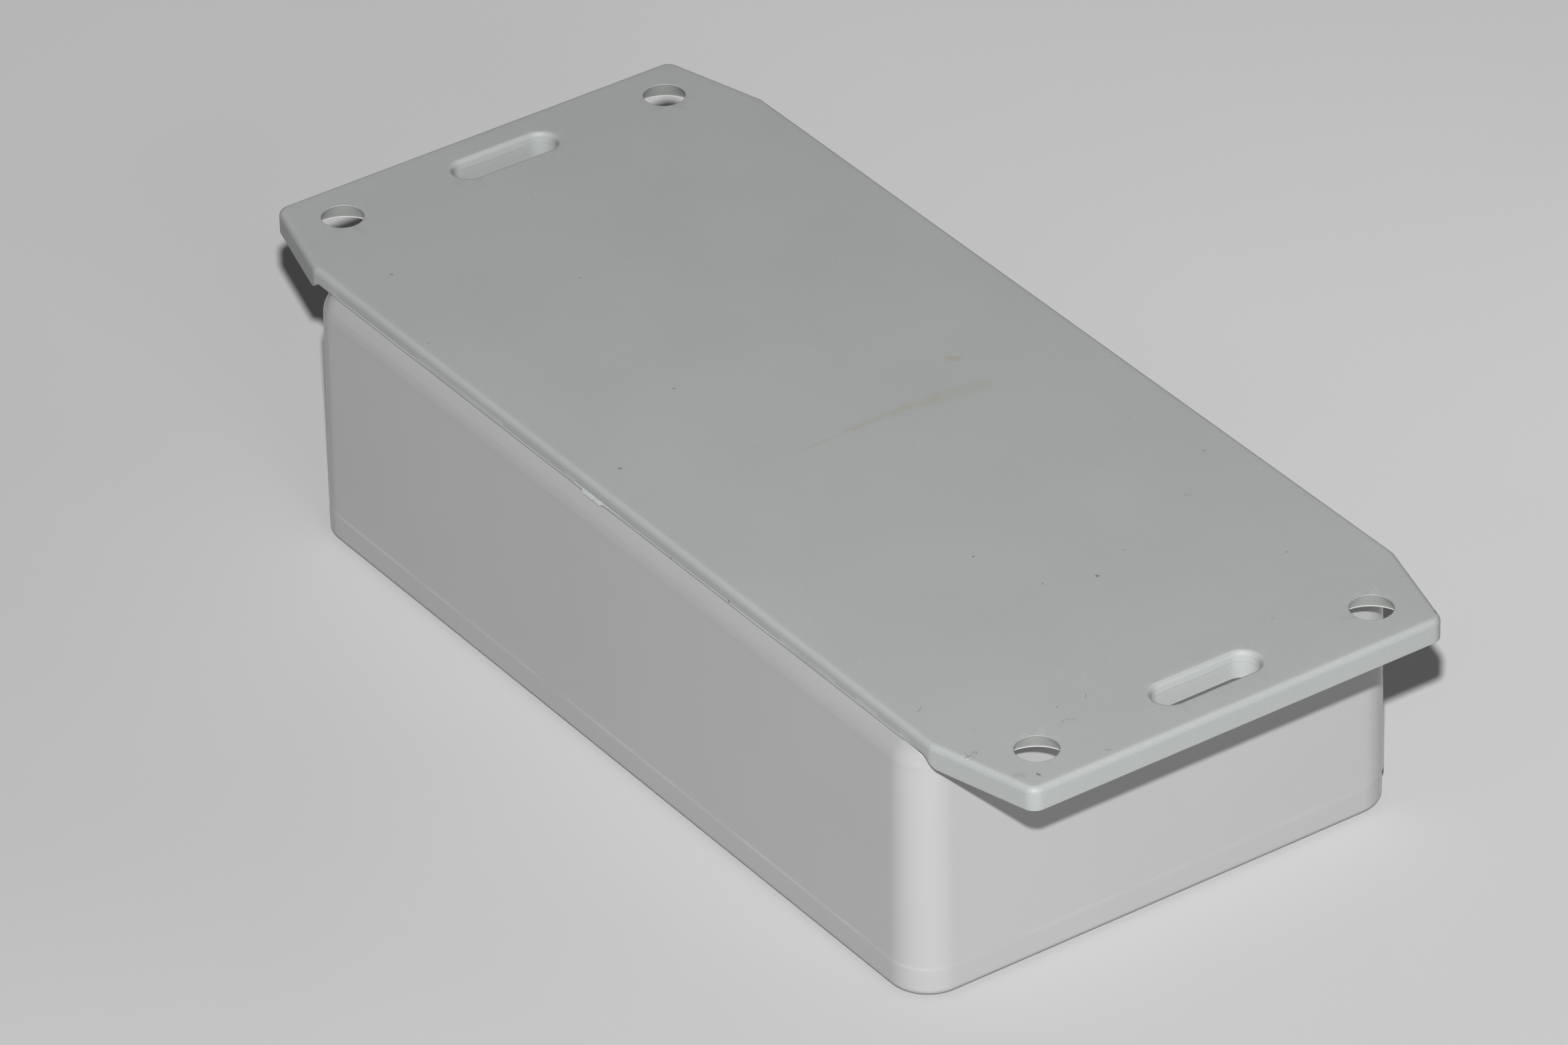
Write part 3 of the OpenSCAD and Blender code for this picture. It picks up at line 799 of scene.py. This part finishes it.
def toned(tree, colour, value, amount):
    # Colour made a little darker or lighter by a noise value
    factor = ramp(tree, value, 0.25, 0.75, 1 - amount, 1 + amount)
    return addNode(tree, "ShaderNodeMix", {0: 1.0, 6: colour, 7: factor}, data_type="RGBA",
                   blend_type="MULTIPLY").outputs[2]


def speckled(tree, colour, point, specks, tint, space):
    cell, share, radius, strength = specks
    dots = maths(tree, "MULTIPLY", speckMask(tree, point, cell, share, radius, space), strength)
    return blend(tree, dots, colour, tint)


def bumped(tree, shader, value, depth):
    bump = addNode(tree, "ShaderNodeBump", {"Height": value, "Distance": depth * mm})
    tree.links.new(bump.outputs[0], shader.inputs["Normal"])


def byDepth(tree, height, depths, *ends):  # ramp between two depths under the lid's face
    return ramp(tree, height, *((lid["top"] - depth) * mm for depth in depths), *ends)


def lidFinish():
    material, tree, shader, point = newFinish("lidPlastic")
    height = addNode(tree, "ShaderNodeSeparateXYZ", {0: point}).outputs["Z"]
    face = byDepth(tree, height, lidLook["faceFrom"])
    grain = noise(tree, point, lidLook["grain"])
    # Painted shade on the rounded upper edge
    rounding = byDepth(tree, height, lidLook["roundingShadeFrom"])
    colour = blend(tree, rounding, lidLook["edge"], lidLook["rounding"])
    colour = blend(tree, face, colour, lidLook["face"])
    colour = toned(tree, colour, noise(tree, point, lidLook["cloud"], 3.0), lidLook["mottle"])
    plan = vectorMaths(tree, "MULTIPLY", point, (1, 1, 0)).outputs[0]
    plan = vectorMaths(tree, "ADD", plan, (0, 0, lid["top"] * mm)).outputs[0]
    inSlot, coneLightMask, mouthShade = 0.0, 0.0, 0.0
    # Painted light and shade on the walls of the slots
    for side, tint in zip((-1, 1), lidLook["slots"]):
        ends = [(side * lid["holeX"], run * lid["slotHalfRun"], lid["top"]) for run in (-1, 1)]
        wall = strokeMask(tree, plan, *ends, lid["slotHalfWidth"], lidLook["softEdge"])
        colour = blend(tree, wall, colour, tint)
        inSlot = maths(tree, "MAXIMUM", inSlot, wall)
    for x, y in fourCorners(lid["holeX"], lid["holeY"]):
        place = (x, y, lid["top"])
        sink = strokeMask(tree, plan, place, place, lid["sinkRadius"], lidLook["softEdge"])
        coneLightMask = maths(tree, "MAXIMUM", coneLightMask, sink)
        lip = strokeMask(tree, plan, place, place, lid["holeRadius"] + lid["holeMouth"], lidLook["mouthShadeSoft"])
        mouthShade = maths(tree, "MAXIMUM", mouthShade, lip)
    coneLightDepth = byDepth(tree, height, lidLook["coneLightFrom"], 1.0, 0.0)
    # Painted shade round the mouths of the holes
    colour = blend(tree, mouthShade, colour, lidLook["mouth"])
    # Painted light: the countersinks paler than the lid
    colour = blend(tree, maths(tree, "MULTIPLY", coneLightMask, coneLightDepth), colour, lidLook["cone"])
    # Painted shade: a dark line where the two halves of a slot meet, under their step
    size, sway = lidLook["slotWaver"]
    waver = ramp(tree, noise(tree, point, size), 0.2, 0.8, -sway * mm, sway * mm)
    level = maths(tree, "SUBTRACT", maths(tree, "ADD", height, waver), (lid["top"] - lid["slotSeam"]) * mm)
    core, soft, strength = lidLook["slotStepShade"]
    line = ramp(tree, maths(tree, "ABSOLUTE", level), core * mm, soft * mm, strength, 0.0)
    colour = blend(tree, maths(tree, "MULTIPLY", line, inSlot), colour, lidLook["dark"])
    colour = toned(tree, colour, grain, lidLook["mottle"])
    streak = vectorMaths(tree, "MULTIPLY", point, lidLook["streakRun"]).outputs[0]
    size, *gaps = lidLook["broken"]
    broken = ramp(tree, noise(tree, streak, size, 3.0), *gaps)
    for start, end, core, soft, strength, tint in lidLook["marks"]:
        start, end = ((*place, lid["top"])[:3] for place in (start, end))
        mask = strokeMask(tree, point, start, end, core, soft)
        mask = maths(tree, "MULTIPLY", mask, strength)
        if tint == "tan":
            mask = maths(tree, "MULTIPLY", mask, broken)
        colour = blend(tree, mask, colour, lidLook[tint])
    colour = speckled(tree, colour, point, lidLook["specks"], lidLook["dark"], "2D")
    colour = speckled(tree, colour, point, lidLook["dustSpecks"], lidLook["dust"], "2D")
    tree.links.new(colour, shader.inputs["Base Color"])
    rough = ramp(tree, face, 0.0, 1.0, *lidLook["roughness"])
    tree.links.new(rough, shader.inputs["Roughness"])
    shader.inputs["Specular IOR Level"].default_value = lidLook["gloss"]
    bumped(tree, shader, maths(tree, "MULTIPLY", grain, face), lidLook["grainDepth"])
    return material


boxLook = {
    "colour": (0.330, 0.330, 0.329, 1),
    # painted shade: the shoulder's colour is darker than the wall's, so that it shows less lit
    "shoulder": (0.262, 0.262, 0.261, 1),
    "shoulderShadeBand": 3.2,                 # depth over which the wall passes into the painted shade of the shoulder
    "cloud": (22.0, 0.012),              # size and strength of the faint mottling
    "roughness": (0.15, 0.20),
    "haze": 3.0,                         # size of the patches between those two
    "flow": 9.0,                         # size of the faint ripple in the gloss
    "flowDepth": 0.012,
    "dark": (0.09, 0.09, 0.09, 1),
    "specks": (8.0, 0.12, 0.2, 0.5),     # size of a cell, share that has one, radius and strength
}


def boxFinish():
    material, tree, shader, point = newFinish("boxPlastic")
    flow = noise(tree, point, boxLook["flow"], 1.0)
    height = addNode(tree, "ShaderNodeSeparateXYZ", {0: point}).outputs["Z"]
    # Painted shade: the wall darkens into the shoulder's colour towards the rim
    shoulderShade = ramp(tree, height, (box["height"] - boxLook["shoulderShadeBand"]) * mm, box["height"] * mm)
    colour = blend(tree, shoulderShade, boxLook["colour"], boxLook["shoulder"])
    size, strength = boxLook["cloud"]
    colour = toned(tree, colour, noise(tree, point, size), strength)
    colour = speckled(tree, colour, point, boxLook["specks"], boxLook["dark"], "3D")
    tree.links.new(colour, shader.inputs["Base Color"])
    rough = ramp(tree, noise(tree, point, boxLook["haze"], 3.0), *noiseSpan, *boxLook["roughness"])
    tree.links.new(rough, shader.inputs["Roughness"])
    bumped(tree, shader, flow, boxLook["flowDepth"])
    return material


def flakeFinish():
    material, tree, shader, point = newFinish("tornPlastic")
    shader.inputs["Roughness"].default_value = flake["roughness"]
    size, strength = flake["mottle"]
    colour = toned(tree, flake["colour"], noise(tree, point, size, 3.0), strength)
    tree.links.new(colour, shader.inputs["Base Color"])
    return material


screwLook = {
    "colour": (0.68, 0.655, 0.61, 1),
    "haze": (0.5, 0.06),                 # size of the dull patches, and their strength in the colour
    "roughness": (0.16, 0.28),
}


def screwFinish():
    material, tree, shader, point = newFinish("screwNickel")
    shader.inputs["Metallic"].default_value = 1.0
    size, strength = screwLook["haze"]
    haze = noise(tree, point, size, 3.0)
    tree.links.new(toned(tree, screwLook["colour"], haze, strength), shader.inputs["Base Color"])
    rough = ramp(tree, haze, *noiseSpan, *screwLook["roughness"])
    tree.links.new(rough, shader.inputs["Roughness"])
    return material


finishPiece(makeBox(), boxFinish(), "box_plastic", "box")
finishPiece(makeLid(), lidFinish(), "lid_plastic", "flanged_lid")
finishPiece(makeScrews(), screwFinish(), "screw_nickel", "lid_screws")
finishPiece(makeFlake(), flakeFinish(), "lid_plastic")
print("pieces made")


# Stage: floor, lamps and camera

stage = {
    "floor": [(0.424, 0.418, 0.421, 1), (0.574, 0.567, 0.570, 1)],  # near and far, as the camera sees it
    "floorRun": ((-0.47, 0.88, 0), -72, 130),  # which way and where the one passes into the other
    "floorBounce": (0.22, 0.22, 0.22, 1),  # as it throws light back on the part
    "floorGloss": 0.1,
    "floorRoughness": 0.7,
    "floorMottle": (60.0, 0.01),         # size and strength
    "floorSize": 6000.0,
    "ambient": 0.08,                     # light from all round
    "pale": 0.72,                        # background as the camera and reflections see it
    # lamps: name, place, width, power and whether they shine in the gloss; all face the middle of the box
    "lamps": [
        ("keyLamp", (688, -480, 672), 24, 18.2, True),
        ("sideLamp", (1000, -250, 320), 520, 2.8, True),
        ("lowLamp", (-900, 700, 16), 30, 5.0, False),  # low behind, for the walls in the shade
    ],
    "place": (764.185, -532.962, 630.315),
    "look": (-0.046, -7.604, 20.357),
    "roll": -1.29,
    "lens": 242.94,
    "sensor": 36.0,
    "farClip": 20.0,                     # metres
}


def seenDirectly(tree):
    # 1 for what the camera, a reflection or a clear surface looks at
    path = addNode(tree, "ShaderNodeLightPath", {})
    seen = maths(tree, "MAXIMUM", path.outputs["Is Camera Ray"], path.outputs["Is Glossy Ray"])
    return maths(tree, "MAXIMUM", seen, path.outputs["Is Transmission Ray"])


def makeFloor():
    half = stage["floorSize"] / 2 * mm
    corners = [(-half, -half, 0), (half, -half, 0), (half, half, 0), (-half, half, 0)]
    mesh = bpy.data.meshes.new("floor")
    mesh.from_pydata(corners, [], [(0, 1, 2, 3)])
    floor = bpy.data.objects.new("floor", mesh)
    bpy.context.scene.collection.objects.link(floor)
    material, tree, shader, point = newFinish("palePaper")
    shader.inputs["Roughness"].default_value = stage["floorRoughness"]
    shader.inputs["Specular IOR Level"].default_value = stage["floorGloss"]
    way, near, far = stage["floorRun"]
    along = vectorMaths(tree, "DOT_PRODUCT", point, way).outputs["Value"]
    colour = blend(tree, ramp(tree, along, near * mm, far * mm), *stage["floor"])
    colour = blend(tree, seenDirectly(tree), stage["floorBounce"], colour)
    size, strength = stage["floorMottle"]
    tree.links.new(toned(tree, colour, noise(tree, point, size), strength), shader.inputs["Base Color"])
    mesh.materials.append(material)


def makeLight():
    world = bpy.data.worlds.new("studio")
    bpy.context.scene.world = world
    world.use_nodes = True
    tree = world.node_tree
    level = ramp(tree, seenDirectly(tree), 0.0, 1.0, stage["ambient"], stage["pale"])
    tree.links.new(level, tree.nodes["Background"].inputs["Color"])
    for name, place, width, power, shine in stage["lamps"]:
        lamp = bpy.data.lights.new(name, "AREA")
        lamp.shape = "DISK"
        lamp.size = width * mm
        lamp.energy = power
        holder = bpy.data.objects.new(name, lamp)
        holder.location = Vector(place) * mm
        holder.rotation_euler = Vector(place).to_track_quat("Z", "Y").to_euler()
        holder.visible_camera = False
        holder.visible_glossy = shine
        bpy.context.scene.collection.objects.link(holder)


def makeCamera():
    lens = bpy.data.cameras.new("photoView")
    lens.lens = stage["lens"]
    lens.sensor_width = stage["sensor"]
    lens.clip_end = stage["farClip"]
    camera = bpy.data.objects.new("photoView", lens)
    place, look = Vector(stage["place"]) * mm, Vector(stage["look"]) * mm
    turn = (look - place).to_track_quat("-Z", "Y").to_matrix().to_4x4()
    roll = Matrix.Rotation(math.radians(stage["roll"]), 4, "Z")
    camera.matrix_world = Matrix.Translation(place) @ turn @ roll
    bpy.context.scene.collection.objects.link(camera)
    bpy.context.scene.camera = camera


makeFloor()
makeLight()
makeCamera()
bpy.context.scene.view_settings.view_transform = "Standard"
print("stage made")
